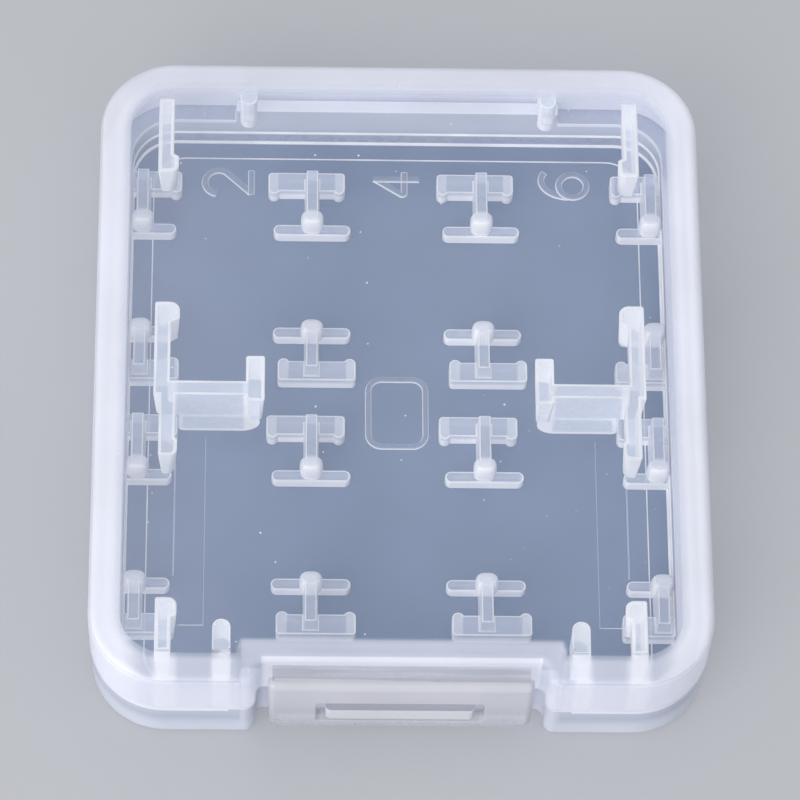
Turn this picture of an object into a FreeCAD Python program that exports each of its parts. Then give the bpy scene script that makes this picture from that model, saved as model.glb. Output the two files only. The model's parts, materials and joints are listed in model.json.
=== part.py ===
import FreeCAD
import Part
import math
import os

# A flat pocket case for memory cards, closed: tray, hinged lid and front latch, moulded in clear plastic.
# Millimetres. X to the right, Y to the back (hinge side), Z up.
# The origin is under the middle of the case, hinge included.

# Closed case
case_width = 58.0
case_length = 66.0
case_height = 12.0
corner_radius = 7.2
panel = 1.2
rim_height = 5.4
rim_gap = 0.1
base_inset = 0.15
top_round = 0.8
bottom_round = 0.6
rim_bevel = 0.25

# Walls
lid_wall = 1.1
side_wall = 2.9
back_wall = 2.7
front_wall = 2.9
ceiling_round = 1.0
lip_clearance = 0.25
lip_share = 0.352
lip_half_width = 15.9

# Back living hinge
hinge_thickness = 0.3
hinge_bore_radius = 0.15
hinge_setoff = 0.1
hinge_rise = 0.6
hinge_half_width = 15.3
hinge_land_margin = 0.3
hinge_land_gap = 0.05

# Front recess for the latch
recess_half_width = 13.4
recess_depth = 2.35
recess_edge_radius = 1.0
recess_root_radius = 0.9
recess_wall = 2.1
recess_side_wall = 1.55
recess_inner_radius = 0.5

# Latch flap, its living hinge and the catch on the tray
flap_side_gap = 1.12
flap_thickness = 1.2
flap_bottom = 1.5
flap_drop = 1.4
flap_low_radius = 1.4
flap_top_radius = 0.6
flap_top_round = 0.7
window_side_gap = 0.85
window_low_gap = 0.25
window_high_gap = 1.75
window_radius = 0.5
latch_hinge_thickness = 0.35
latch_hinge_end_gap = 0.38
catch_half_width = 6.95
catch_height = 2.0
catch_rim_gap = 0.05
catch_setback = 0.1
catch_corner_radius = 0.5

# Small-card places on the floor: a grid of posts, each with a pad under the card's edge
post_pitch = 16.65
side_post_inset = 1.125
row_back_gap_share = 0.3475
row_middle_gap_share = 0.301
pad_row_offset = 5.72
pad_length = 7.6
side_pad_shift = 0.5
pad_width = 1.2
pad_height = 1.3
post_height = 3.7
web_width = 1.15
web_foot_width = 1.5
knob_radius = 1.12
knob_crown_radius = 0.88
knob_foot_radius = 1.02
knob_flat = 0.4
bar_length = 7.6
bar_depth = 2.1
bar_height = 1.7
bar_corner_radius = 0.4
bar_rib_radius = 0.6
bar_rib_reach = 0.3
back_bar_offset = 4.17
back_bar_shift = -0.55
back_web_bite = 1.25
front_bar_offset = 3.27
front_bar_shift = 0.5
front_web_bite = 1.6

# Large-card clips, bars and pegs under the lid
clip_inset = 5.6
clip_bar = 1.55
clip_drop = 4.45
clip_back = 7.05
clip_front = -9.34
clip_front_shift = 0.55
clip_draft = 0.25
clip_corner_radius = 0.25
clip_head_width = 2.4
clip_front_head_width = 1.8
clip_head_length = 1.8
clip_head_round_share = 0.4
clip_shoulder_radius = 0.25
clip_shoulder_share = 0.5
corner_bar_head_width = 2.05
clip_web_back = -1.4
clip_web = 1.5
clip_tongue_gap = 0.3
clip_tongue_end = 13.3
clip_tongue_radius = 1.8
clip_tongue_setback = 0.2
clip_tongue_outer_radius = 0.6
clip_end_outer = 14.65
clip_end_bar = 1.8
clip_end_back = 1.3
clip_end_front = -3.5
back_bar_wall_gap = 2.3
back_bar_length = 8.25
front_bar_length = 6.2
peg_width = 1.7
peg_round_share = 0.49
back_peg_length = 3.0
back_peg_inset = 0.95
front_peg_length = 4.0
front_peg_bar_gap = 6.2
peg_land_gap = 0.4
peg_lip_gap = 0.5

# One overrun for all cuts, and the distance at which two points count as one
overrun = 1.0
point_tolerance = 1e-6

# Planes and places that follow from the sizes above
half_width = case_width / 2
hinge_outer_radius = hinge_bore_radius + hinge_thickness
front = -(case_length + hinge_setoff + hinge_outer_radius) / 2
back = front + case_length
middle_y = (front + back) / 2
hinge_y = back + hinge_setoff
hinge_z = rim_height + hinge_rise
ceiling = case_height - panel
lid_rim = rim_height + rim_gap
recess_y = front + recess_depth
base_back = back - base_inset
base_recess_y = recess_y + base_inset
inner_front = front + front_wall
inner_recess_y = recess_y + recess_wall
inner_recess_half = recess_half_width + recess_side_wall
front_inner_radius = corner_radius - front_wall
tray_half = half_width - side_wall
tray_back = back - back_wall
lid_half = half_width - lid_wall
lid_back = back - lid_wall
lip_back = lid_back - lip_clearance
lip_top = rim_height + (ceiling - rim_height) * lip_share
land_half = hinge_half_width + hinge_land_margin
land_top = hinge_z - hinge_land_gap
pad_top = panel + pad_height
bar_top = panel + bar_height
post_top = panel + post_height
clip_bottom = ceiling - clip_drop
clip_outer = half_width - clip_inset
clip_front_outer = clip_outer - clip_front_shift
tongue_bottom = bar_top + clip_tongue_gap
flap_half_width = recess_half_width - flap_side_gap
flap_top = case_height - flap_drop
flap_back = front + flap_thickness
catch_top = rim_height - catch_rim_gap
catch_bottom = catch_top - catch_height


def box(x_range, y_range, z_range):
    """Upright box between the two ends of each range."""
    corner = FreeCAD.Vector(x_range[0], y_range[0], z_range[0])
    sides = [end - start for start, end in (x_range, y_range, z_range)]
    return Part.makeBox(sides[0], sides[1], sides[2], corner)


def outline(corners):
    """Closed wire in the XY plane through (x, y, radius) corners, each rounded by its own radius."""
    spans = []
    for index, (x, y, radius) in enumerate(corners):
        here = FreeCAD.Vector(x, y, 0)
        ahead = corners[(index + 1) % len(corners)]
        to_before = (FreeCAD.Vector(corners[index - 1][0], corners[index - 1][1], 0) - here).normalize()
        to_after = (FreeCAD.Vector(ahead[0], ahead[1], 0) - here).normalize()
        half_angle = to_before.getAngle(to_after) / 2
        reach = radius / math.tan(half_angle)
        middle = (to_before + to_after).normalize() * (radius / math.sin(half_angle) - radius)
        spans.append((here + to_before * reach, here + middle, here + to_after * reach, radius))
    edges = []
    for index, (entry, middle, leave, radius) in enumerate(spans):
        if radius > 0:
            edges.append(Part.Arc(entry, middle, leave).toShape())
        following = spans[(index + 1) % len(spans)][0]
        if leave.distanceToPoint(following) > point_tolerance:
            edges.append(Part.LineSegment(leave, following).toShape())
    return Part.Wire(edges)


def prism(corners, bottom, top):
    """Upright solid with the rounded outline as its plan."""
    face = Part.Face(outline(corners))
    face.translate(FreeCAD.Vector(0, 0, bottom))
    return face.extrude(FreeCAD.Vector(0, 0, top - bottom))


def inset(corners, distance):
    """The same plan with every side moved inwards; the corners run counter-clockwise."""
    moved = []
    for index, (x, y, radius) in enumerate(corners):
        here = FreeCAD.Vector(x, y, 0)
        ahead = corners[(index + 1) % len(corners)]
        way_in = (here - FreeCAD.Vector(corners[index - 1][0], corners[index - 1][1], 0)).normalize()
        way_out = (FreeCAD.Vector(ahead[0], ahead[1], 0) - here).normalize()
        inwards = FreeCAD.Vector(-way_in.y - way_out.y, way_in.x + way_out.x, 0)
        place = here + inwards * (distance / (1 + way_in.dot(way_out)))
        moved.append((place.x, place.y, radius))
    return moved


def hanging(corners):
    """Solid from the lid's inner face down to the clips' lower face, drawn in by the draft on its way."""
    low = outline(inset(corners, clip_draft))
    low.translate(FreeCAD.Vector(0, 0, clip_bottom))
    high = outline(corners)
    high.translate(FreeCAD.Vector(0, 0, ceiling))
    return Part.makeLoft([low, high], True, True)


def plate_facing_front(corners, near, far):
    """Solid whose outline is drawn in X and Z, between the planes Y = near and Y = far."""
    solid = prism(corners, -far, -near)
    solid.rotate(FreeCAD.Vector(0, 0, 0), FreeCAD.Vector(1, 0, 0), 90)
    return solid


def edges_at_height(shape, height):
    """Edges that lie wholly in the plane Z = height."""
    flat = []
    for edge in shape.Edges:
        limits = edge.BoundBox
        if abs(limits.ZMin - height) < rim_gap / 2 and abs(limits.ZMax - height) < rim_gap / 2:
            flat.append(edge)
    return flat


def mirrored(shape):
    """The same shape on the other side of the middle plane X = 0."""
    return shape.mirror(FreeCAD.Vector(0, 0, 0), FreeCAD.Vector(1, 0, 0))


def fused(shapes):
    """One clean solid from shapes that overlap or touch."""
    return shapes[0].multiFuse(shapes[1:]).removeSplitter()


def case_corners(inset):
    """Plan of the case with the latch recess in its front side."""
    side = half_width - inset
    face = front + inset
    rear = back - inset
    radius = corner_radius - inset
    notch = recess_half_width + inset
    notch_y = recess_y + inset
    return [
        (-side, face, radius), (-notch, face, recess_edge_radius),
        (-notch, notch_y, recess_root_radius), (notch, notch_y, recess_root_radius),
        (notch, face, recess_edge_radius), (side, face, radius),
        (side, rear, radius), (-side, rear, radius),
    ]


def cavity_corners(side, rear, rear_radius):
    """Plan of the space inside the walls, with the back of the latch recess standing into it."""
    return [
        (-side, inner_front, front_inner_radius), (-inner_recess_half, inner_front, recess_inner_radius),
        (-inner_recess_half, inner_recess_y, recess_inner_radius),
        (inner_recess_half, inner_recess_y, recess_inner_radius),
        (inner_recess_half, inner_front, recess_inner_radius), (side, inner_front, front_inner_radius),
        (side, rear, rear_radius), (-side, rear, rear_radius),
    ]


def tray_cavity():
    """Space inside the tray, up past its lip."""
    corners = cavity_corners(tray_half, tray_back, corner_radius - side_wall)
    return prism(corners, panel, lip_top + overrun)


def base_tray():
    """Tray with a land on its back wall that carries the hinge, and a raised lip in front of the land."""
    body = prism(case_corners(base_inset), 0, rim_height)
    body = body.makeFillet(bottom_round, edges_at_height(body, 0))
    land = box((-land_half, land_half), (tray_back, base_back), (rim_height, land_top))
    lip = box((-lip_half_width, lip_half_width), (tray_back, lip_back), (rim_height, lip_top))
    return fused([body, lip, land]).cut(tray_cavity()).removeSplitter()


def lid_space():
    """Space inside the lid, down past the reach of the clips."""
    corners = cavity_corners(lid_half, lid_back, corner_radius - lid_wall)
    space = prism(corners, 0, ceiling)
    return space.makeFillet(ceiling_round, edges_at_height(space, ceiling))


def lid_shell():
    """Lid with its walls, recessed for the latch and notched over the hinge land."""
    body = prism(case_corners(0), lid_rim, case_height)
    body = body.makeFillet(top_round, edges_at_height(body, case_height))
    body = body.makeChamfer(rim_bevel, edges_at_height(body, lid_rim))
    notch_half = land_half + hinge_land_gap
    notch = box((-notch_half, notch_half), (lid_back - overrun, back + overrun),
                (lid_rim - overrun, hinge_z + hinge_land_gap))
    return body.cut(lid_space()).cut(notch).removeSplitter()


def back_hinge_strip():
    """Thin band that leaves the tray's land, loops round the hinge line and joins the lid."""
    def at(y, z):
        return FreeCAD.Vector(-hinge_half_width, hinge_y + y, hinge_z + z)

    outer = hinge_outer_radius
    inner = hinge_bore_radius
    to_base = base_back - hinge_y
    to_lid = back - hinge_y
    edges = [
        Part.LineSegment(at(to_base, -outer), at(0, -outer)).toShape(),
        Part.Arc(at(0, -outer), at(outer, 0), at(0, outer)).toShape(),
        Part.LineSegment(at(0, outer), at(to_lid, outer)).toShape(),
        Part.LineSegment(at(to_lid, outer), at(to_lid, inner)).toShape(),
        Part.LineSegment(at(to_lid, inner), at(0, inner)).toShape(),
        Part.Arc(at(0, inner), at(inner, 0), at(0, -inner)).toShape(),
        Part.LineSegment(at(0, -inner), at(to_base, -inner)).toShape(),
        Part.LineSegment(at(to_base, -inner), at(to_base, -outer)).toShape(),
    ]
    return Part.Face(Part.Wire(edges)).extrude(FreeCAD.Vector(2 * hinge_half_width, 0, 0))


def catch_bar():
    """Bar on the tray's recessed front that the latch window drops over."""
    bar_front = front + catch_setback
    corners = [
        (-catch_half_width, bar_front, catch_corner_radius),
        (catch_half_width, bar_front, catch_corner_radius),
        (catch_half_width, base_recess_y, 0), (-catch_half_width, base_recess_y, 0),
    ]
    return prism(corners, catch_bottom, catch_top)


def latch_flap():
    """Flap with a window, flush with the front of the case."""
    corners = [
        (-flap_half_width, flap_bottom, flap_low_radius), (flap_half_width, flap_bottom, flap_low_radius),
        (flap_half_width, flap_top, flap_top_radius), (-flap_half_width, flap_top, flap_top_radius),
    ]
    side = catch_half_width + window_side_gap
    low = catch_bottom - window_low_gap
    high = catch_top + window_high_gap
    window = [
        (-side, low, window_radius), (side, low, window_radius),
        (side, high, window_radius), (-side, high, window_radius),
    ]
    flap = plate_facing_front(corners, front, flap_back)
    half_way = (front + flap_back) / 2
    top_front = [edge for edge in edges_at_height(flap, flap_top) if edge.BoundBox.YMax < half_way]
    flap = flap.makeFillet(flap_top_round, top_front)
    return flap.cut(plate_facing_front(window, front - overrun, flap_back + overrun))


def latch_hinge_strip():
    """Thin band between the lid's recessed front and the top of the latch flap."""
    half = flap_half_width - latch_hinge_end_gap
    return box((-half, half), (flap_back, recess_y), (flap_top - latch_hinge_thickness, flap_top))


def card_pad(column_x, row_y):
    """Low oval pad that a card's edge lies on."""
    half = pad_length / 2
    radius = pad_width / 2
    corners = [
        (column_x - half, row_y - radius, radius), (column_x + half, row_y - radius, radius),
        (column_x + half, row_y + radius, radius), (column_x - half, row_y + radius, radius),
    ]
    return prism(corners, panel, pad_top)


def knob(column_x, row_y, side):
    """Barrel that stands on the pad and holds down the card edges beside it, flat towards the card."""
    middle = (pad_top + post_top) / 2
    foot = FreeCAD.Vector(0, 0, pad_top)
    crown = FreeCAD.Vector(0, 0, post_top)
    foot_edge = FreeCAD.Vector(knob_foot_radius, 0, pad_top)
    belly = FreeCAD.Vector(knob_radius, 0, middle)
    crown_edge = FreeCAD.Vector(knob_crown_radius, 0, post_top)
    edges = [
        Part.LineSegment(foot, foot_edge).toShape(),
        Part.Arc(foot_edge, belly, crown_edge).toShape(),
        Part.LineSegment(crown_edge, crown).toShape(),
        Part.LineSegment(crown, foot).toShape(),
    ]
    barrel = Part.Face(Part.Wire(edges)).revolve(FreeCAD.Vector(0, 0, 0), FreeCAD.Vector(0, 0, 1), 360)
    reach = knob_radius + overrun
    kept_low, kept_high = sorted((-side * knob_flat, side * reach))
    barrel = barrel.common(box((-reach, reach), (kept_low, kept_high), (pad_top, post_top)))
    barrel.translate(FreeCAD.Vector(column_x, row_y, 0))
    return barrel


def card_post(column_x, row_y, side, shift):
    """Post of one grid place: knob over the pad, web, and a low cross bar with a rib at each end."""
    offset, bite = (back_bar_offset, back_web_bite) if side > 0 else (front_bar_offset, front_web_bite)
    near = row_y + side * offset
    far = near + side * bar_depth
    left = column_x + shift - bar_length / 2
    right = column_x + shift + bar_length / 2
    low, high = sorted((near, far))
    bar = prism([(left, low, bar_corner_radius), (right, low, bar_corner_radius),
                 (right, high, bar_corner_radius), (left, high, bar_corner_radius)], panel, bar_top)
    rib_y = near + side * (bar_rib_radius - bar_rib_reach)
    ribs = []
    for rib_x in (left + bar_rib_radius, right - bar_rib_radius):
        ribs.append(Part.makeCylinder(bar_rib_radius, bar_height, FreeCAD.Vector(rib_x, rib_y, panel)))
    web_low, web_high = sorted((row_y, near + side * bite))
    half = web_width / 2
    foot_half = web_foot_width / 2
    web_corners = [
        (column_x - foot_half, panel, 0), (column_x + foot_half, panel, 0),
        (column_x + half, post_top, 0), (column_x - half, post_top, 0),
    ]
    web = plate_facing_front(web_corners, web_low, web_high)
    return fused([bar, web, knob(column_x, row_y, side)] + ribs)


def post_grid():
    """Posts and pads by name: rows a to d from the back, columns 1 to 4 from the left."""
    to_back_bar = pad_row_offset + back_bar_offset + bar_depth
    to_front_bar = pad_row_offset + front_bar_offset + bar_depth
    free_length = tray_back - inner_recess_y - 2 * (to_back_bar + to_front_bar)
    back_slots = tray_back - free_length * row_back_gap_share - to_back_bar
    front_slots = back_slots - to_front_bar - free_length * row_middle_gap_share - to_back_bar
    rows = [
        ("a", back_slots + pad_row_offset, 1, back_bar_shift),
        ("b", back_slots - pad_row_offset, -1, front_bar_shift),
        ("c", front_slots + pad_row_offset, 1, back_bar_shift),
        ("d", front_slots - pad_row_offset, -1, front_bar_shift),
    ]
    # Place across the tray, how far the pad moves outwards, and whether the bar takes its row's shift
    side_x = tray_half - side_post_inset
    inner_x = post_pitch / 2
    columns = [(-side_x, -side_pad_shift, 0), (-inner_x, 0, 1), (inner_x, 0, 1), (side_x, side_pad_shift, 0)]
    room = tray_cavity()
    grid = {}
    for row, row_y, side, bar_shift in rows:
        for number, (column_x, pad_shift, shift_share) in enumerate(columns, 1):
            pad = card_pad(column_x + pad_shift, row_y).common(room)
            post = card_post(column_x, row_y, side, bar_shift * shift_share).common(room)
            grid["card_post_%s%d" % (row, number)] = post.cut(pad).removeSplitter()
            grid["card_pad_%s%d" % (row, number)] = pad
    return grid


def hanging_bar(outer, y_range, head_at, head_width):
    """Bar under the lid on the left side, with a wider head at the end nearest head_at."""
    tail_at = y_range[0] + y_range[1] - head_at
    way = 1 if tail_at > head_at else -1
    inner = clip_bar - outer
    head_inner = head_width - outer
    shoulder_at = head_at + way * clip_head_length
    shoulder_end = shoulder_at + way * clip_shoulder_share * (head_width - clip_bar)
    corners = [
        (-outer, tail_at, 0), (-outer, head_at, clip_corner_radius),
        (head_inner, head_at, head_width * clip_head_round_share),
        (head_inner, shoulder_at, clip_shoulder_radius),
        (inner, shoulder_end, 0), (inner, tail_at, 0),
    ]
    return hanging(corners[::way])


def card_clip():
    """Left clip: two stepped side bars, a web with a deep tongue, and a short bar at its inner end."""
    web_front = clip_web_back - clip_web
    back_bar = hanging_bar(clip_outer, (web_front, clip_back), clip_back, clip_head_width)
    front_bar = hanging_bar(clip_front_outer, (clip_front, clip_web_back), clip_front, clip_front_head_width)
    root = clip_outer - clip_bar / 2
    tongue_outer = clip_front_outer - clip_bar - clip_tongue_setback
    web_corners = [
        (-tongue_outer, tongue_bottom, clip_tongue_outer_radius),
        (-clip_tongue_end, tongue_bottom, clip_tongue_radius),
        (-clip_tongue_end, ceiling, 0), (-root, ceiling, 0),
        (-root, clip_bottom, 0), (-tongue_outer, clip_bottom, 0),
    ]
    web = plate_facing_front(web_corners, web_front, clip_web_back)
    end_outer = -clip_end_outer
    end_inner = end_outer + clip_end_bar
    end_bar = hanging([
        (end_outer, clip_end_front, clip_corner_radius), (end_inner, clip_end_front, clip_corner_radius),
        (end_inner, clip_end_back, clip_corner_radius), (end_outer, clip_end_back, clip_corner_radius),
    ])
    clip = fused([back_bar, front_bar, web, end_bar])
    clip.translate(FreeCAD.Vector(0, middle_y, 0))
    return clip


def back_corner_bar():
    """Left bar beside the back corner."""
    tail = lid_back - back_bar_wall_gap
    head = tail - back_bar_length
    return hanging_bar(clip_outer, (head, tail), head, corner_bar_head_width)


def front_corner_bar():
    """Left bar that runs back from the front wall."""
    head = inner_front + front_bar_length
    return hanging_bar(clip_front_outer, (inner_front - clip_draft, head), head, corner_bar_head_width)


def stop_peg(centre, wall_y, tip_y):
    """Peg on the wall at wall_y, round at its free end and clear of the hinge land below."""
    low = centre - peg_width / 2
    high = centre + peg_width / 2
    tip = peg_width * peg_round_share
    corners = [(low, wall_y, 0), (high, wall_y, 0), (high, tip_y, tip), (low, tip_y, tip)]
    return prism(corners, land_top + peg_land_gap, ceiling)


def back_stop_peg():
    """Left peg on the lid's back wall, cut away underneath to pass over the tray's lip."""
    peg = stop_peg(back_peg_inset - land_half, lid_back, lid_back - back_peg_length)
    side = lip_half_width + peg_lip_gap
    lip_room = box((-side, side), (tray_back - peg_lip_gap, lid_back + overrun), (0, lip_top + peg_lip_gap))
    return peg.cut(lip_room)


def front_stop_peg():
    """Left peg on the lid's front wall."""
    return stop_peg(front_peg_bar_gap - clip_front_outer, inner_front, inner_front + front_peg_length)


parts = {
    "base_tray": base_tray(),
    "catch_bar": catch_bar(),
    "back_hinge_strip": back_hinge_strip(),
    "lid_shell": lid_shell(),
    "latch_flap": latch_flap(),
    "latch_hinge_strip": latch_hinge_strip(),
}
parts.update(post_grid())
lid_fittings = {
    "card_clip": card_clip(),
    "back_corner_bar": back_corner_bar(),
    "front_corner_bar": front_corner_bar(),
    "back_stop_peg": back_stop_peg(),
    "front_stop_peg": front_stop_peg(),
}
for name, fitting in lid_fittings.items():
    shape = fitting.common(lid_space())
    parts[name + "_left"] = shape
    parts[name + "_right"] = mirrored(shape)

os.makedirs("parts", exist_ok=True)
for name, shape in parts.items():
    print("%-26s solids %d  valid %s  volume %.3f" % (name, len(shape.Solids), shape.isValid(), shape.Volume))
    shape.exportStep("parts/" + name + ".step")
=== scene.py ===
import json
import math

import bmesh
import bpy
from mathutils import Matrix, Vector


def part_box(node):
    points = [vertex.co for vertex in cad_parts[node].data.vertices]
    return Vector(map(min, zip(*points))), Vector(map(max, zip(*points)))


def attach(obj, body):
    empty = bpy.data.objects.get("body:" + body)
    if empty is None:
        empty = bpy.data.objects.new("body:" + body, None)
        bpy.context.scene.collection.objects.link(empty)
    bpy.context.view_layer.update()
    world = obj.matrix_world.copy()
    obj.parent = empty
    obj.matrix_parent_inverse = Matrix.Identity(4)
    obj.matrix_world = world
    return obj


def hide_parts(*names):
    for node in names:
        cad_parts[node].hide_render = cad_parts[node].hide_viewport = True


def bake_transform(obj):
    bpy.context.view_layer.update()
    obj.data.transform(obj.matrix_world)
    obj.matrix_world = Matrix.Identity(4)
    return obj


# Looks of a closed, empty memory card case in milky clear plastic.
# Lengths in this script are millimetres until a mesh or a lamp is made, which multiplies them by MM.

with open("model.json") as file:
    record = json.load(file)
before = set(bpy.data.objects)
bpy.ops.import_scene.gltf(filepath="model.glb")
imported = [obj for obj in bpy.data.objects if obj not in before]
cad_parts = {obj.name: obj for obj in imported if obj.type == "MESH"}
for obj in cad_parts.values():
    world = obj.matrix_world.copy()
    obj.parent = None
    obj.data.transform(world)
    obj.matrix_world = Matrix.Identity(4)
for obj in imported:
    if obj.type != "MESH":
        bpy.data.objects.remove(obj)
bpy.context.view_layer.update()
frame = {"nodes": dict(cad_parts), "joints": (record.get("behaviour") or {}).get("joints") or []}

MM = 0.001


def node_box(node):
    """Lowest and highest corner of a node at rest, in millimetres."""
    low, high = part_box(node)
    return low / MM, high / MM


def joint_place(name):
    """A joint's place at rest, in millimetres."""
    joint = next(joint for joint in frame["joints"] if joint["name"] == name)
    return Vector(joint["pos_m"]) / MM


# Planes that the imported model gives
lid_low, lid_high = node_box("lid_shell")
clip_low, clip_high = node_box("card_clip_right")
bar_low, bar_high = node_box("front_corner_bar_right")
peg_low, peg_high = node_box("front_stop_peg_right")
back_peg_low, back_peg_high = node_box("back_stop_peg_right")
half_width = lid_high.x
front, back = lid_low.y, lid_high.y
middle_y = (front + back) / 2
half_length = (back - front) / 2
lid_rim = lid_low.z
ceiling = clip_high.z
tongue_bottom = clip_low.z
floor_top, pad_top = (corner.z for corner in node_box("card_pad_a2"))
inner_front = bar_low.y
rows = {row: sum((corner.y for corner in node_box("card_pad_%s2" % row)), 0.0) / 2 for row in "abcd"}
post_pitch = 16.65
post_columns = [post_pitch * share for share in (-1.5, -0.5, 0.5, 1.5)]
bar_ends = [corner.x + post_pitch / 2 for corner in node_box("card_post_a2")]
bar_shift = sum(bar_ends) / 2
bar_half = (bar_ends[1] - bar_ends[0]) / 2

# Sizes of the mouldings that the looks follow
corner_radius = 7.2
tray_wall = 2.9
tray_back_wall = 2.7
recess_inner_half = 14.95
recess_inner_depth = 4.45
rim_top = lid_rim - 0.1
tray_half = half_width - tray_wall
tray_back = back - tray_back_wall
tray_corner_radius = corner_radius - tray_wall
recess_inner_y = front + recess_inner_depth
lip_half = 15.9
recess_depth = 2.35
recess_y = front + recess_depth
recess_half = 12.85

# Rounding that catches the light on moulded edges
weld = 0.002
flat_angle = math.radians(1.0)
sharp_angle = math.radians(35.0)
crease_angle = math.radians(60.0)
tray_round = 0.2
catch_round = 0.12
shell_round = 0.15
post_round = 0.07
fitting_round = 0.1

# Posts, pads and the lid's fittings are drawn in by this much, to share no face with what they seat on
seat_gap = 0.01

# Bright borders of level tops, painted highlights where light runs out of the plastic: widths of their
# steps, and the share of a width within which corners merge
border_level = 0.99
border_merge_share = 0.6
post_border = (0.08,)
peg_border = (0.12,)
clip_border = (0.18, 0.14)

# Knobs of the posts: half width, flattened side, and rings as shares of height and width
knob_half = 1.12
knob_flat = 0.45
knob_web_end = 0.1
knob_points = 40
knob_power = 0.75
KNOB_PROFILE = [(0.0, 0.92), (0.2, 0.97), (0.45, 1.0), (0.68, 0.98), (0.84, 0.92), (0.94, 0.82),
                (0.985, 0.7), (1.0, 0.5)]

# Plastic: shadow_share is the part of the light that scatters through a wall instead of being stopped,
# and clear_layers is how many clear faces a ray of light may pass
shadow_share = 0.85
clear_layers = 48
plastic_ior = 1.49
clear_roughness = 0.18
white_roughness = 0.45
drift_scale = 0.12
grain_scale = 0.8


class Shader:
    """Node tree of one material, with short calls for what the plastics share."""

    def __init__(self, name):
        self.material = bpy.data.materials.new(name)
        self.material.use_nodes = True
        self.nodes = self.material.node_tree.nodes
        self.links = self.material.node_tree.links
        self.surface = self.nodes["Principled BSDF"]
        coordinates = self.nodes.new("ShaderNodeTexCoord")
        self.place = self.scaled(coordinates.outputs["Object"], 1 / MM)
        self.x, self.y, self.z = self.parts_of(self.place)
        self.aside = self.math("ABSOLUTE", self.x)
        # Outward normal: seen from inside a wall, the normal is turned back to the outside
        inside = self.nodes.new("ShaderNodeNewGeometry").outputs["Backfacing"]
        outward = self.scaled(coordinates.outputs["Normal"], self.math("MULTIPLY_ADD", inside, -2.0, 1.0))
        self.to_side, self.to_back, self.to_top = self.parts_of(outward)
        self.to_front = self.math("MULTIPLY", self.to_back, -1.0)
        self.level = self.math("ABSOLUTE", self.to_top)

    def feed(self, socket, value):
        if isinstance(value, bpy.types.NodeSocket):
            self.links.new(value, socket)
        else:
            socket.default_value = value

    def parts_of(self, vector):
        node = self.nodes.new("ShaderNodeSeparateXYZ")
        self.links.new(vector, node.inputs[0])
        return node.outputs

    def scaled(self, vector, factor):
        node = self.nodes.new("ShaderNodeVectorMath")
        node.operation = "SCALE"
        self.links.new(vector, node.inputs[0])
        self.feed(node.inputs["Scale"], factor)
        return node.outputs[0]

    def math(self, operation, *values):
        node = self.nodes.new("ShaderNodeMath")
        node.operation = operation
        for socket, value in zip(node.inputs, values):
            self.feed(socket, value)
        return node.outputs[0]

    def ramp(self, value, low, high, at_low=0.0, at_high=1.0):
        """Smooth step of a value from one level to another."""
        node = self.nodes.new("ShaderNodeMapRange")
        node.interpolation_type = "SMOOTHSTEP"
        for name, setting in (("Value", value), ("From Min", low), ("From Max", high),
                              ("To Min", at_low), ("To Max", at_high)):
            self.feed(node.inputs[name], setting)
        return node.outputs[0]

    def fall(self, value, low, high):
        """Smooth step down from 1 to 0."""
        return self.ramp(value, low, high, 1.0, 0.0)

    def within(self, value, low, high, soft):
        """1 between two limits and 0 outside them, with soft ends."""
        above = self.ramp(value, low - soft, low + soft)
        return self.both(above, self.fall(value, high - soft, high + soft))

    def blend(self, factor, first, second):
        """Mix of two numbers."""
        node = self.nodes.new("ShaderNodeMix")
        for socket, value in zip((node.inputs[0], node.inputs[2], node.inputs[3]), (factor, first, second)):
            self.feed(socket, value)
        return node.outputs[0]

    def tint(self, factor, first, second):
        """Mix of two colours."""
        node = self.nodes.new("ShaderNodeMix")
        node.data_type = "RGBA"
        for socket, value in zip((node.inputs[0], node.inputs[6], node.inputs[7]), (factor, first, second)):
            self.feed(socket, value)
        return node.outputs[2]

    def noise(self, scale, detail=2.0, stretch=(1, 1, 1)):
        """Soft noise around 0.5, scale in waves per millimetre."""
        place = self.nodes.new("ShaderNodeVectorMath")
        place.operation = "MULTIPLY"
        self.links.new(self.place, place.inputs[0])
        place.inputs[1].default_value = stretch
        node = self.nodes.new("ShaderNodeTexNoise")
        self.links.new(place.outputs[0], node.inputs["Vector"])
        node.inputs["Scale"].default_value = scale
        node.inputs["Detail"].default_value = detail
        return node.outputs["Fac"]

    def specks(self, spacing, radius, share):
        """Dust: small round dots on a loose grid, on upper faces only."""
        node = self.nodes.new("ShaderNodeTexVoronoi")
        node.voronoi_dimensions = "2D"
        self.links.new(self.place, node.inputs["Vector"])
        node.inputs["Scale"].default_value = 1 / spacing
        draws = self.parts_of(node.outputs["Color"])
        chosen = self.math("LESS_THAN", draws[0], share)
        size = self.math("MULTIPLY", draws[1], radius / spacing)
        dot = self.math("LESS_THAN", node.outputs["Distance"], size)
        return self.both(self.both(dot, chosen), self.ramp(self.to_top, 0.95, 0.99))

    def wall_depth(self, half_x, half_y, centre_y, radius):
        """Distance inwards from a rounded rectangle's outline, in plan."""
        across = self.math("SUBTRACT", self.aside, half_x - radius)
        along = self.math("ABSOLUTE", self.math("SUBTRACT", self.y, centre_y))
        along = self.math("SUBTRACT", along, half_y - radius)
        corner_x = self.math("MAXIMUM", across, 0.0)
        corner_y = self.math("MAXIMUM", along, 0.0)
        squares = self.math("ADD", self.both(corner_x, corner_x), self.both(corner_y, corner_y))
        beyond = self.math("SQRT", squares)
        inside = self.math("MINIMUM", self.math("MAXIMUM", across, along), 0.0)
        return self.math("SUBTRACT", self.math("SUBTRACT", radius, beyond), inside)

    def fold(self, value, centre):
        """Distance of a value from a centre."""
        return self.math("ABSOLUTE", self.math("SUBTRACT", value, centre))

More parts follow.
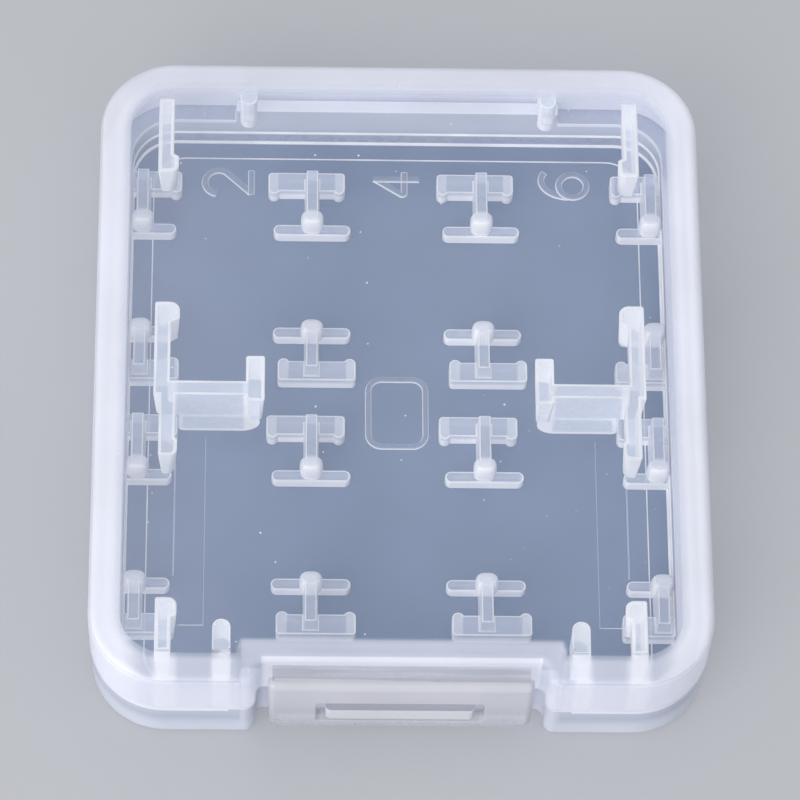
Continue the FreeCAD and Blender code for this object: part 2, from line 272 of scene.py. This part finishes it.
    def from_knob(self):
        """Distances across and along from the nearest post knob, in plan."""
        across = self.fold(self.fold(self.aside, post_pitch), post_pitch / 2)
        middle = (rows["a"] + rows["d"]) / 2
        half_gaps = (rows["a"] + rows["b"]) / 2 - middle, (rows["a"] - rows["b"]) / 2
        along = self.fold(self.fold(self.fold(self.y, middle), half_gaps[0]), half_gaps[1])
        return across, along

    def both(self, first, second):
        return self.math("MULTIPLY", first, second)

    def most(self, *values):
        result = values[0]
        for value in values[1:]:
            result = self.math("MAXIMUM", result, value)
        return result

    def edges(self, share):
        """Painted highlight on the rounded edges between level and upright faces, where light runs out of
        the plastic.
        """
        not_upright = self.ramp(self.level, 0.15, 0.4, 0.0, share)
        return self.both(not_upright, self.fall(self.level, 0.93, 0.985))

    def milky(self, frost, clear, white, clear_alpha, white_alpha):
        """Milky plastic: clear and glossy where frost is 0, white and scattering where it is 1."""
        drift = self.ramp(self.noise(drift_scale), 0.3, 0.7, 0.96, 1.03)
        self.feed(self.surface.inputs["Base Color"], self.scaled(self.tint(frost, clear, white), drift))
        light_path = self.nodes.new("ShaderNodeLightPath")
        let_through = self.math("MULTIPLY", light_path.outputs["Is Shadow Ray"], shadow_share)
        cover = self.blend(frost, clear_alpha, white_alpha)
        self.feed(self.surface.inputs["Alpha"], self.both(cover, self.math("SUBTRACT", 1.0, let_through)))
        grain = self.ramp(self.noise(grain_scale), 0.2, 0.8, -0.04, 0.05)
        roughness = self.blend(frost, clear_roughness, white_roughness)
        self.feed(self.surface.inputs["Roughness"], self.math("ADD", roughness, grain))
        self.surface.inputs["IOR"].default_value = plastic_ior
        return self.material


# Colours of the plastic: clear sheets look blue-grey, edges and thick places white with a little blue
WHITE = (0.86, 0.87, 0.95, 1)
BRIGHT = (0.97, 0.97, 0.99, 1)
WARM_WHITE = (0.77, 0.77, 0.82, 1)
CLEAR_LID = (0.57, 0.63, 0.76, 1)
CLEAR_TRAY = (0.215, 0.285, 0.43, 1)
CLEAR_POST = (0.60, 0.66, 0.80, 1)
CLEAR_CLIP = (0.78, 0.84, 0.95, 1)
CLEAR_LATCH = (0.36, 0.37, 0.43, 1)


def lid_plastic():
    """White walls and rim, clear panel with dust, front walls that thin to grey between the bars, a painted
    highlight along the lower edge and a painted sheen over the left of the panel.
    """
    sheen_left, sheen_right = -26.0, -4.0
    shader = Shader("lid_plastic")
    depth = shader.wall_depth(half_width, half_length, middle_y, corner_radius)
    # Whiter where bars, pegs and the sides stand behind the front wall, and along the lid's lower edge as a
    # painted highlight
    backed_and_edge_lit = shader.most(shader.within(shader.aside, bar_low.x, bar_high.x, 0.4),
                         shader.within(shader.aside, peg_low.x, peg_high.x, 0.4),
                         shader.ramp(shader.aside, bar_high.x + 0.5, bar_high.x + 3.0),
                         shader.ramp(shader.y, inner_front - 0.5, inner_front + 1.5),
                         shader.fall(shader.z, lid_rim + 0.5, lid_rim + 1.0))
    rim = shader.both(shader.ramp(depth, 2.0, 3.0, 1.0, 0.6), shader.fall(depth, 2.85, 3.05))
    rim = shader.both(rim, shader.ramp(shader.y, back - 5.0, back - 1.0, 1.0, 0.8))
    rim = shader.both(rim, shader.both(shader.ramp(shader.level, 0.3, 0.8), shader.blend(backed_and_edge_lit, 0.6, 1.0)))
    in_recess = shader.fall(shader.aside, recess_inner_half - 0.3, recess_inner_half + 0.3)
    by_edge = shader.both(shader.within(shader.y, recess_y - 0.1, recess_y + 0.35, 0.08),
                          shader.fall(shader.aside, recess_half, recess_half + 0.2))
    band = shader.both(shader.fall(shader.y, recess_inner_y - 0.3, recess_inner_y + 0.2),
                       shader.blend(by_edge, 0.6, 1.0))
    recess = shader.both(in_recess, band)
    upright = shader.fall(shader.level, 0.45, 0.98)
    wall = shader.both(upright, shader.blend(backed_and_edge_lit, 0.6, 0.84))
    wall = shader.both(wall, shader.blend(shader.both(in_recess, upright), 1.0, 0.75))
    # Painted sheen: the left of the clear panel is whitened as the soft box's light reflected in it
    extra_frost = shader.ramp(shader.x, sheen_left, sheen_right, 0.1, 0.0)
    frost = shader.most(rim, recess, wall, extra_frost, shader.specks(4.5, 0.11, 0.3))
    return shader.milky(frost, CLEAR_LID, WHITE, clear_alpha=0.07, white_alpha=0.74)


def tray_plastic():
    """Blue-grey floor, grey inner walls under a bright rim line, and an outside that whitens downwards,
    with painted shade near the top under the lid's edge.
    """
    shader = Shader("tray_plastic")
    depth = shader.wall_depth(half_width, half_length, middle_y, corner_radius)
    outer_wall = shader.fall(depth, 0.8, 1.2)
    # Painted shade: the outside wall is greyer and clearer near the top, as shade under the lid's lower
    # edge
    painted_shade_outside = shader.both(outer_wall, shader.ramp(shader.z, 2.0, 5.0, 0.7, 0.32))
    upright = shader.fall(shader.level, 0.3, 0.98)
    beside_lip = shader.ramp(shader.aside, lip_half - 0.1, lip_half + 0.1)
    rim_line = shader.both(beside_lip, shader.within(shader.z, rim_top - 0.5, rim_top + 0.2, 0.08))
    lower_wall = shader.ramp(shader.z, floor_top, rim_top, 0.3, 0.6)
    inner_wall = shader.both(upright, shader.most(lower_wall, rim_line))
    flat = shader.ramp(shader.level, 0.97, 0.99)
    on_rim = shader.both(flat, shader.ramp(shader.z, rim_top - 0.3, rim_top - 0.1))
    rim = shader.both(on_rim, shader.ramp(shader.y, 21.0, 27.0, 0.85, 0.35))
    over_rim = shader.ramp(shader.z, rim_top + 1.2, rim_top + 1.5)
    lip = shader.both(shader.ramp(shader.level, 0.3, 0.8), over_rim)
    in_recess = shader.ramp(shader.aside, recess_inner_half - 0.1, recess_inner_half + 0.1, 0.65, 0.0)
    before_wall = shader.fall(shader.y, recess_inner_y - 0.2, recess_inner_y + 0.1)
    # Dust specks, and painted highlights on the rounded edges
    dust_and_edge_light = shader.most(shader.edges(0.9), shader.specks(4.0, 0.09, 0.3))
    frost = shader.most(painted_shade_outside, inner_wall, rim, lip, shader.both(in_recess, before_wall), dust_and_edge_light)
    return shader.milky(frost, CLEAR_TRAY, WHITE, clear_alpha=0.75, white_alpha=0.88)


def post_plastic():
    """Clear tops, white knobs and sides, fronts painted white as lit from the front, and backs that hardly
    show through the tops, left nearly clear as painted shade.
    """
    row_c_bars_end = 0.2
    shader = Shader("post_plastic")
    across, along = shader.from_knob()
    in_bar = shader.ramp(along, 2.4, 3.0)
    front_face = shader.blend(in_bar, 1.0, shader.ramp(shader.z, 2.0, 2.6, 1.0, 0.5))
    to_either_side = shader.math("ABSOLUTE", shader.to_side)
    # Painted light: fronts painted white as lit from the front, and backs left nearly clear as their unlit
    # side; sides stay white
    faces = shader.most(shader.both(shader.ramp(shader.to_front, 0.3, 0.75), front_face),
                        shader.ramp(to_either_side, 0.3, 0.8, 0.0, 0.8),
                        shader.ramp(shader.to_back, 0.3, 0.8, 0.0, 0.2))
    knob = shader.both(shader.ramp(across, 0.7, 1.3, 0.55, 0.0), shader.fall(along, 0.6, 1.3))
    knob = shader.both(knob, shader.ramp(shader.z, pad_top, pad_top + 0.2))
    behind_knobs = shader.most(shader.ramp(shader.y, rows["a"], rows["a"] + 1.0),
                               shader.within(shader.y, rows["c"], row_c_bars_end, 0.1))
    column = shader.math("SUBTRACT", shader.math("FLOORED_MODULO", shader.x, post_pitch), post_pitch / 2)
    from_middle = shader.math("SUBTRACT", column, shader.blend(behind_knobs, -bar_shift, bar_shift))
    rib = shader.ramp(shader.math("ABSOLUTE", from_middle), bar_half - 1.1, bar_half - 0.9, 0.1, 0.4)
    extra_frost = shader.most(shader.ramp(shader.noise(0.35), 0.35, 0.75, 0.0, 0.12), shader.both(in_bar, rib))
    frost = shader.most(faces, knob, extra_frost, shader.edges(0.75))
    return shader.milky(frost, CLEAR_POST, BRIGHT, clear_alpha=0.36, white_alpha=0.95)


def clip_plastic():
    """Milky cores with white sides; tongues, fronts of end bars and back pegs stay half clear."""
    tongue_front, tongue_back = -3.4, -1.4
    end_front, end_back = -4.0, -3.5
    window_low, window_high = 6.2, 10.2
    peg_window_y = 27.0
    peg_window_z = 7.3
    shader = Shader("clip_plastic")
    upright = shader.fall(shader.level, 0.9, 0.985)
    across = shader.within(shader.aside, clip_low.x + 2.0, clip_high.x - 2.2, 0.2)
    tongue = shader.both(across, shader.within(shader.y, tongue_front, tongue_back, 0.1))
    end_core = shader.within(shader.aside, clip_low.x + 0.35, clip_low.x + 1.4, 0.08)
    end_window = shader.both(shader.both(end_core, shader.within(shader.y, end_front, end_back, 0.05)),
                             shader.within(shader.z, window_low, window_high, 0.1))
    half_clear = shader.ramp(shader.z, tongue_bottom + 0.3, tongue_bottom + 0.7, 1.0, 0.3)
    extra_frost = shader.ramp(shader.noise(0.3), 0.35, 0.75, 0.0, 0.12)
    peg_core = shader.within(shader.aside, back_peg_low.x + 0.3, back_peg_high.x - 0.3, 0.1)
    in_window = shader.both(shader.ramp(shader.y, peg_window_y, peg_window_y + 0.5),
                            shader.ramp(shader.z, peg_window_z, peg_window_z + 0.4))
    peg_window = shader.both(peg_core, in_window)
    sides = shader.blend(shader.most(tongue, end_window, peg_window), 1.0, half_clear)
    frost = shader.most(shader.both(upright, sides), extra_frost)
    return shader.milky(frost, CLEAR_CLIP, BRIGHT, clear_alpha=0.42, white_alpha=0.95)


def edge_light_plastic():
    """Painted highlight: bright borders of clear tops, thin edges and steps, where light runs out of the
    plastic.
    """
    shader = Shader("edge_light_plastic")
    frost = shader.ramp(shader.noise(0.25), 0.3, 0.7, 0.8, 1.0)
    return shader.milky(frost, CLEAR_POST, BRIGHT, clear_alpha=0.4, white_alpha=0.92)


def flap_plastic():
    """Greyish plastic of the latch flap, darker low down, with a bright lower edge."""
    shader = Shader("flap_plastic")
    body = shader.ramp(shader.z, 3.0, 9.0, 0.35, 0.6)
    foot = shader.fall(shader.z, 1.8, 2.4)
    return shader.milky(shader.most(body, foot), CLEAR_LATCH, WARM_WHITE, clear_alpha=0.6, white_alpha=0.95)


def catch_plastic():
    """Catch with a grey top and a pale front."""
    shader = Shader("catch_plastic")
    frost = shader.ramp(shader.level, 0.5, 0.97, 0.8, 0.2)
    return shader.milky(frost, CLEAR_LATCH, WARM_WHITE, clear_alpha=0.6, white_alpha=0.92)


def film_plastic():
    """Thin flexed film of the two hinges."""
    shader = Shader("film_plastic")
    stress = shader.ramp(shader.noise(0.5, 2.0, (0.15, 3, 3)), 0.35, 0.7, 0.2, 0.45)
    return shader.milky(stress, CLEAR_LATCH, WHITE, clear_alpha=0.55, white_alpha=0.75)


def figure_plastic():
    """Raised figures: clear level tops with bright sides."""
    shader = Shader("figure_plastic")
    frost = shader.ramp(shader.level, 0.75, 0.97, 1.0, 0.1)
    return shader.milky(frost, CLEAR_POST, BRIGHT, clear_alpha=0.12, white_alpha=0.68)


def turn_outwards(shape):
    """Turns the faces of closed solids outwards."""
    bmesh.ops.recalc_face_normals(shape, faces=shape.faces)


def new_piece(name, shape, material, body):
    """Object from a bmesh in millimetres, on its body."""
    bmesh.ops.scale(shape, vec=(MM, MM, MM), verts=shape.verts)
    mesh = bpy.data.meshes.new(name)
    shape.to_mesh(mesh)
    shape.free()
    mesh.shade_smooth()
    mesh.set_sharp_from_angle(angle=crease_angle)
    mesh.materials.append(material)
    piece = bpy.data.objects.new(name, mesh)
    bpy.context.scene.collection.objects.link(piece)
    if body:
        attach(piece, body)
    return piece


def even_normals(piece):
    """Level shading on broad faces, with the turn of the light kept to the rounded edges."""
    even = piece.modifiers.new("even_normals", "WEIGHTED_NORMAL")
    even.keep_sharp = True


def round_sharp_edges(shape, offset):
    """Rounds the sharp edges of a bmesh."""
    edges = [edge for edge in shape.edges if edge.is_manifold and edge.calc_face_angle() > sharp_angle]
    bmesh.ops.bevel(shape, geom=edges, offset=offset, segments=2, profile=0.5, affect="EDGES",
                    clamp_overlap=True)


def knob_of(post):
    """Middle of a post's knob in plan, and the way from it to the post's bar, 1 or -1 along Y."""
    low, high = node_box(post)
    pad_low, pad_high = node_box(post.replace("post", "pad"))
    middle = (pad_low + pad_high) / 2
    column = min(post_columns, key=lambda x: abs(x - middle.x))
    return Vector((column, middle.y)), 1 if high.y - middle.y > middle.y - low.y else -1


def bare_web(shape, knob, way):
    """Takes the knob off a post and draws the end of its web in to the knob's middle."""
    cut_y = knob.y + way * (knob_half + weld)
    everything = shape.verts[:] + shape.edges[:] + shape.faces[:]
    bmesh.ops.bisect_plane(shape, geom=everything, dist=weld / 10, plane_co=(0, cut_y, 0),
                           plane_no=(0, way, 0), clear_inner=True)
    bmesh.ops.holes_fill(shape, edges=shape.edges, sides=0)
    for vertex in shape.verts:
        if abs(vertex.co.y - cut_y) < weld:
            vertex.co.y = knob.y + way * knob_web_end


def add_barrel(shape, knob, way, top):
    """Adds a squat barrel for a post's knob: round, a little flattened on the card's side."""
    barrel_y = knob.y + way * (knob_half - knob_flat) / 2
    half_y = (knob_half + knob_flat) / 2
    rings = []
    for height_share, width_share in KNOB_PROFILE:
        ring = []
        for index in range(knob_points):
            angle = 2 * math.pi * index / knob_points
            across = math.copysign(abs(math.cos(angle)) ** knob_power, math.cos(angle))
            along = math.copysign(abs(math.sin(angle)) ** knob_power, math.sin(angle))
            x = knob.x + knob_half * width_share * across
            y = barrel_y + half_y * width_share * along
            ring.append(shape.verts.new((x, y, pad_top + (top - pad_top) * height_share)))
        rings.append(ring)
    for lower, upper in zip(rings, rings[1:]):
        for index in range(knob_points):
            after = (index + 1) % knob_points
            shape.faces.new((lower[index], lower[after], upper[after], upper[index]))
    shape.faces.new(list(reversed(rings[0])))
    shape.faces.new(rings[-1])


def add_border(shape, widths):
    """Insets the level tops step by step and gives the border the second material."""
    for step, width in enumerate(widths):
        shape.normal_update()
        tops = [face for face in shape.faces if face.normal.z > border_level and face.material_index == 0]
        rims = bmesh.ops.inset_region(shape, faces=tops, thickness=width, use_even_offset=False)["faces"]
        for face in rims:
            face.material_index = 1
        if step < len(widths) - 1:
            corners = {vertex for face in tops for vertex in face.verts}
            inner = sorted(corners, key=lambda vertex: vertex.co[:])
            bmesh.ops.remove_doubles(shape, verts=inner, dist=width * border_merge_share)


def moulded(node, material, body, edge_round, shrink=0.0, border=(), edge_light_material=None):
    """Piece with a node's shape and softly rounded edges, in its place; tops can have a bright border."""
    shape = bmesh.new()
    shape.from_mesh(frame["nodes"][node].data)
    bmesh.ops.scale(shape, vec=(1 / MM, 1 / MM, 1 / MM), verts=shape.verts)
    bmesh.ops.remove_doubles(shape, verts=shape.verts, dist=weld)
    bmesh.ops.dissolve_limit(shape, angle_limit=flat_angle, verts=shape.verts, edges=shape.edges)
    is_post = node.startswith("card_post")
    if is_post:
        knob, way = knob_of(node)
        bare_web(shape, knob, way)
    round_sharp_edges(shape, edge_round)
    bmesh.ops.dissolve_degenerate(shape, dist=weld, edges=shape.edges)
    shape.normal_update()
    if shrink:
        moves = [(vertex, vertex.normal * shrink) for vertex in shape.verts]
        for vertex, move in moves:
            vertex.co -= move
    add_border(shape, border)
    if is_post:
        add_barrel(shape, knob, way, node_box(node)[1].z)
    piece = new_piece(node + "_moulding", shape, material, body)
    if border:
        piece.data.materials.append(edge_light_material)
    even_normals(piece)
    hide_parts(node)
    return piece


def rounded(corners, closed, step=math.radians(9)):
    """Points along a path of (x, y, radius) corners, each rounded by an arc."""
    count = len(corners)
    points = []
    for index, (x, y, radius) in enumerate(corners):
        here = Vector((x, y))
        if radius == 0 or (not closed and index in (0, count - 1)):
            points.append(here)
            continue
        before = (Vector(corners[index - 1][:2]) - here).normalized()
        after = (Vector(corners[(index + 1) % count][:2]) - here).normalized()
        half_angle = before.angle(after) / 2
        centre = here + (before + after).normalized() * (radius / math.sin(half_angle))
        entry = here + before * (radius / math.tan(half_angle)) - centre
        leave = here + after * (radius / math.tan(half_angle)) - centre
        turn = entry.angle_signed(leave)
        pieces = max(2, math.ceil(abs(turn) / step))
        for part in range(pieces + 1):
            points.append(centre + Matrix.Rotation(-turn * part / pieces, 2) @ entry)
    return points


def sweep(shape, path, height, profile, closed):
    """Adds a solid that carries a profile of (left, up) points along a level path."""
    count = len(path)
    rings = []
    for index, point in enumerate(path):
        ahead = path[(index + 1) % count] - point if closed or index < count - 1 else None
        behind = point - path[index - 1] if closed or index > 0 else None
        if ahead is None:
            way, stretch = behind.normalized(), 1.0
        elif behind is None:
            way, stretch = ahead.normalized(), 1.0
        else:
            way = (ahead.normalized() + behind.normalized()).normalized()
            stretch = 1 / max(0.5, way.dot(ahead.normalized()))
        left = Vector((-way.y, way.x)) * stretch
        ring = []
        for aside, up in profile:
            place = point + left * aside
            ring.append(shape.verts.new((place.x, place.y, height + up)))
        rings.append(ring)
    size = len(profile)
    for index in range(count if closed else count - 1):
        first, second = rings[index], rings[(index + 1) % count]
        for corner in range(size):
            after = (corner + 1) % size
            shape.faces.new((first[corner], second[corner], second[after], first[after]))
    if not closed:
        shape.faces.new(rings[0])
        shape.faces.new(list(reversed(rings[-1])))


def ridge(width, height, top_share, sink=0.02):
    """Profile of a raised line: flat top and steep sides."""
    half = width / 2
    return [(-half, -sink), (half, -sink), (half * top_share, height), (-half * top_share, height)]


def arc(centre, radii, start, end, count=16):
    """Plain points on an ellipse between two angles in degrees, as corners for rounded()."""
    points = []
    for index in range(count + 1):
        angle = math.radians(start + (end - start) * index / count)
        x = centre[0] + radii[0] * math.cos(angle)
        points.append((x, centre[1] + radii[1] * math.sin(angle), 0))
    return points


# Figures as strokes of (u, v, radius) corners in a unit square, u to the right and v up, radii in mm
FIGURE_STROKES = {
    "2": [(arc((0.5, 0.70), (0.5, 0.30), 170, -30) + [(0.05, 0.0, 0)], False),
          ([(0.0, 0.0, 0), (1.0, 0.0, 0)], False)],
    "4": [([(0.7, 0.0, 0), (0.7, 1.0, 0)], False),
          ([(0.7, 0.95, 0), (0.0, 0.32, 0.2), (1.0, 0.32, 0)], False)],
    "6": [(arc((0.5, 0.3), (0.48, 0.3), 0, 360, 28)[:-1], True),
          (arc((0.72, 0.36), (0.70, 0.62), 176, 62), False)],
}
figure_columns = {"2": -post_pitch, "4": 0.0, "6": post_pitch}
figure_y = 25.35
figure_width = 2.7
figure_height = 4.6
figure_stroke = 0.7
figure_rise = 0.16
figure_top_share = 0.62

# Bare label frame on the floor
label_x = (-2.8, 2.75)
label_y = (-3.75, 3.5)
label_radius = 1.3
label_stroke = 0.65
label_rise = 0.14

# Thin outline on the floor, and lines round the tray's inner wall as name, height, reach, half height
outline_half = 24.0
outline_front = inner_front + 1.5
outline_back = 28.1
outline_radius = 3.2
outline_stroke = 0.14
outline_rise = 0.08
line_top_share = 0.6
wall_line_front = inner_front + 6
wall_line_sink = 0.02
wall_line_face = 0.4
WALL_LINES = (("wall_step", 3.1, 0.14, 0.18), ("wall_foot", floor_top, 0.22, 0.22))

# Witness lines under the right half of the lid, as a width and the (x, y) corners of a path
LID_LINES = ((0.055, ((18.35, -7.8), (18.35, -27.05), (20.7, -27.05))),
             (0.12, ((21.2, -10.5), (21.2, -22.0))))
lid_line_rise = 0.05

# Films of the two living hinges
film_overlap = 0.4
film_bend_radius = 0.3
film_thickness = 0.3
film_steps = 12
film_columns = 12


def floor_figures(material):
    """Raised numbers of the card places, their tops turned to the left."""
    for figure, column in figure_columns.items():
        shape = bmesh.new()
        for stroke, closed in FIGURE_STROKES[figure]:
            corners = []
            for u, v, radius in stroke:
                x = column - (v - 0.5) * figure_height
                corners.append((x, figure_y + (u - 0.5) * figure_width, radius))
            profile = ridge(figure_stroke, figure_rise, figure_top_share)
            sweep(shape, rounded(corners, closed), floor_top, profile, closed)
        turn_outwards(shape)
        new_piece("floor_figure_" + figure, shape, material, "base")


def rectangle(x_range, y_range, radius):
    """Corners of a rounded rectangle for rounded()."""
    (left, right), (low, high) = x_range, y_range
    return [(left, low, radius), (right, low, radius), (right, high, radius), (left, high, radius)]


def floor_lines(line_material, figure_material):
    """Bare label frame, thin floor outline and the steps round the tray's inner wall."""
    shape = bmesh.new()
    label = rectangle(label_x, label_y, label_radius)
    profile = ridge(label_stroke, label_rise, figure_top_share)
    sweep(shape, rounded(label, True), floor_top, profile, True)
    turn_outwards(shape)
    new_piece("floor_label_frame", shape, figure_material, "base")
    shape = bmesh.new()
    outline = rectangle((-outline_half, outline_half), (outline_front, outline_back), outline_radius)
    profile = ridge(outline_stroke, outline_rise, line_top_share)
    sweep(shape, rounded(outline, True), floor_top, profile, True)
    turn_outwards(shape)
    new_piece("floor_outline", shape, line_material, "base")
    wall = [(-tray_half, wall_line_front, 0), (-tray_half, tray_back, tray_corner_radius),
            (tray_half, tray_back, tray_corner_radius), (tray_half, wall_line_front, 0)]
    for name, height, reach, tall in WALL_LINES:
        shape = bmesh.new()
        face = tall * wall_line_face
        profile = [(wall_line_sink, -tall), (-reach, -face), (-reach, face), (wall_line_sink, tall)]
        sweep(shape, rounded(wall, False), height, profile, False)
        turn_outwards(shape)
        new_piece(name + "_line", shape, line_material, "base")


def lid_lines(material):
    """Witness lines on the lid's inner face, in front of each clip."""
    for side, name in ((-1, "left"), (1, "right")):
        shape = bmesh.new()
        for width, points in LID_LINES:
            path = [Vector((side * x, y)) for x, y in points]
            profile = [(aside, -up) for aside, up in ridge(width, lid_line_rise, line_top_share)]
            sweep(shape, path, ceiling, profile, False)
        turn_outwards(shape)
        new_piece("lid_line_" + name, shape, material, "lid")


def band(path, half, thickness):
    """Bmesh of a thin sheet along X that follows a path of (y, z) points."""
    shape = bmesh.new()
    columns = film_columns
    grid = []
    for index, point in enumerate(path):
        ahead = path[min(index + 1, len(path) - 1)]
        behind = path[max(index - 1, 0)]
        way = (Vector(ahead) - Vector(behind)).normalized()
        out = Vector((-way.y, way.x)) * thickness / 2
        row = []
        for side in (1, -1):
            for column in range(columns + 1):
                x = half * (2 * column / columns - 1)
                row.append(shape.verts.new((x, point[0] + side * out.x, point[1] + side * out.y)))
        grid.append(row)
    width = columns + 1
    for first, second in zip(grid, grid[1:]):
        for column in range(columns):
            for start in (0, width):
                left, right = start + column, start + column + 1
                shape.faces.new((first[left], first[right], second[right], second[left]))
        for column in (0, columns):
            shape.faces.new((first[column], second[column], second[width + column], first[width + column]))
    for row in (grid[0], grid[-1]):
        for column in range(columns):
            shape.faces.new((row[column], row[column + 1], row[width + column + 1], row[width + column]))
    turn_outwards(shape)
    return shape


def back_hinge_film(material):
    """Living hinge of the lid: a sheet bent round the joint's axis."""
    low, high = node_box("back_hinge_strip")
    axis = joint_place("lid_hinge")
    path = [(low.y, axis.z - film_bend_radius)]
    for index in range(film_steps + 1):
        angle = math.radians(-90 + 180 * index / film_steps)
        y = axis.y + film_bend_radius * math.cos(angle)
        path.append((y, axis.z + film_bend_radius * math.sin(angle)))
    path.append((back, axis.z + film_bend_radius))
    strip = new_piece("back_hinge_film", band(path, high.x, film_thickness), material, None)
    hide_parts("back_hinge_strip")
    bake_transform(strip)


def latch_hinge_film(material):
    """Living hinge of the flap: a level sheet."""
    low, high = node_box("latch_hinge_strip")
    middle_z = (low.z + high.z) / 2
    reach = low.y - film_overlap - high.y
    path = [(high.y + reach * index / film_steps, middle_z) for index in range(film_steps + 1)]
    strip = new_piece("latch_hinge_film", band(path, high.x, high.z - low.z), material, None)
    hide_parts("latch_hinge_strip")
    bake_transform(strip)


def photo_camera():
    """Camera at the photograph's angle, looking down on the case from the latch side."""
    tilt, turn, roll = math.radians(26.97), math.radians(-3.83), math.radians(3.97)
    distance = 442.4
    target = Vector((0.13, -1.105, 6.0))
    behind = Vector((math.sin(turn) * math.sin(tilt), -math.cos(turn) * math.sin(tilt), math.cos(tilt)))
    right = Vector((math.cos(turn), math.sin(turn), 0))
    up = behind.cross(right)
    rolled_right = math.cos(roll) * right + math.sin(roll) * up
    rolled_up = math.cos(roll) * up - math.sin(roll) * right
    data = bpy.data.cameras.new("photo_camera")
    data.sensor_width = 36.0
    data.lens = 207.6
    data.clip_start = 0.01
    camera = bpy.data.objects.new("photo_camera", data)
    bpy.context.scene.collection.objects.link(camera)
    turned = Matrix((rolled_right, rolled_up, behind)).transposed()
    camera.matrix_world = Matrix.Translation((target + behind * distance) * MM) @ turned.to_4x4()
    bpy.context.scene.camera = camera


def soft_lamp(name, place, size, power, colour):
    """Square soft box that faces the case."""
    data = bpy.data.lights.new(name, "AREA")
    data.size = size * MM
    data.energy = power
    data.color = colour
    lamp = bpy.data.objects.new(name, data)
    bpy.context.scene.collection.objects.link(lamp)
    lamp.location = Vector(place) * MM
    lamp.rotation_euler = (-lamp.location).to_track_quat("-Z", "Y").to_euler()


# Studio: the floor's half width in metres, its drop in millimetres, and the colours of paper and surround
floor_half_m = 4.0
floor_drop = 0.05
PAPER_DARK = (0.50, 0.51, 0.53, 1)
PAPER_LIGHT = (0.52, 0.53, 0.55, 1)
paper_scale = 0.02
paper_roughness = 0.8
SURROUND = (0.90, 0.92, 0.96, 1)
surround_strength = 0.65


def studio():
    """Pale floor, soft boxes and an even pale surround."""
    shape = bmesh.new()
    bmesh.ops.create_grid(shape, x_segments=1, y_segments=1, size=floor_half_m)
    mesh = bpy.data.meshes.new("studio_floor")
    shape.to_mesh(mesh)
    shape.free()
    shader = Shader("studio_floor")
    paper = shader.ramp(shader.noise(paper_scale), 0.3, 0.7)
    shader.feed(shader.surface.inputs["Base Color"], shader.tint(paper, PAPER_DARK, PAPER_LIGHT))
    shader.surface.inputs["Roughness"].default_value = paper_roughness
    mesh.materials.append(shader.material)
    floor = bpy.data.objects.new("studio_floor", mesh)
    floor.location.z = -floor_drop * MM
    bpy.context.scene.collection.objects.link(floor)
    soft_lamp("key", place=(-420, -560, 400), size=620, power=4.7, colour=(1.0, 0.99, 0.98))
    soft_lamp("fill", place=(180, 380, 480), size=420, power=0.5, colour=(0.95, 0.97, 1.0))
    world = bpy.data.worlds.new("studio_surround")
    world.use_nodes = True
    background = world.node_tree.nodes["Background"]
    background.inputs["Color"].default_value = SURROUND
    background.inputs["Strength"].default_value = surround_strength
    bpy.context.scene.world = world


post_material = post_plastic()
clip_material = clip_plastic()
edge_light_material = edge_light_plastic()
film_material = film_plastic()
figure_material = figure_plastic()

moulded("base_tray", tray_plastic(), "base", tray_round)
moulded("catch_bar", catch_plastic(), "base", catch_round)
moulded("lid_shell", lid_plastic(), "lid", shell_round)
moulded("latch_flap", flap_plastic(), "latch", shell_round)
for node in sorted(frame["nodes"]):
    if node.startswith(("card_post", "card_pad")):
        moulded(node, post_material, "base", post_round, seat_gap,
                post_border, edge_light_material)
    elif node.startswith(("back_stop", "front_stop")):
        moulded(node, clip_material, "lid", fitting_round, seat_gap,
                peg_border, edge_light_material)
    elif node.startswith(("card_clip", "back_corner", "front_corner")):
        moulded(node, clip_material, "lid", fitting_round, seat_gap,
                clip_border, edge_light_material)
floor_figures(figure_material)
floor_lines(edge_light_material, figure_material)
lid_lines(figure_material)
back_hinge_film(film_material)
latch_hinge_film(film_material)

photo_camera()
studio()
scene = bpy.context.scene
scene.view_settings.view_transform = "Standard"
scene.cycles.transparent_max_bounces = clear_layers
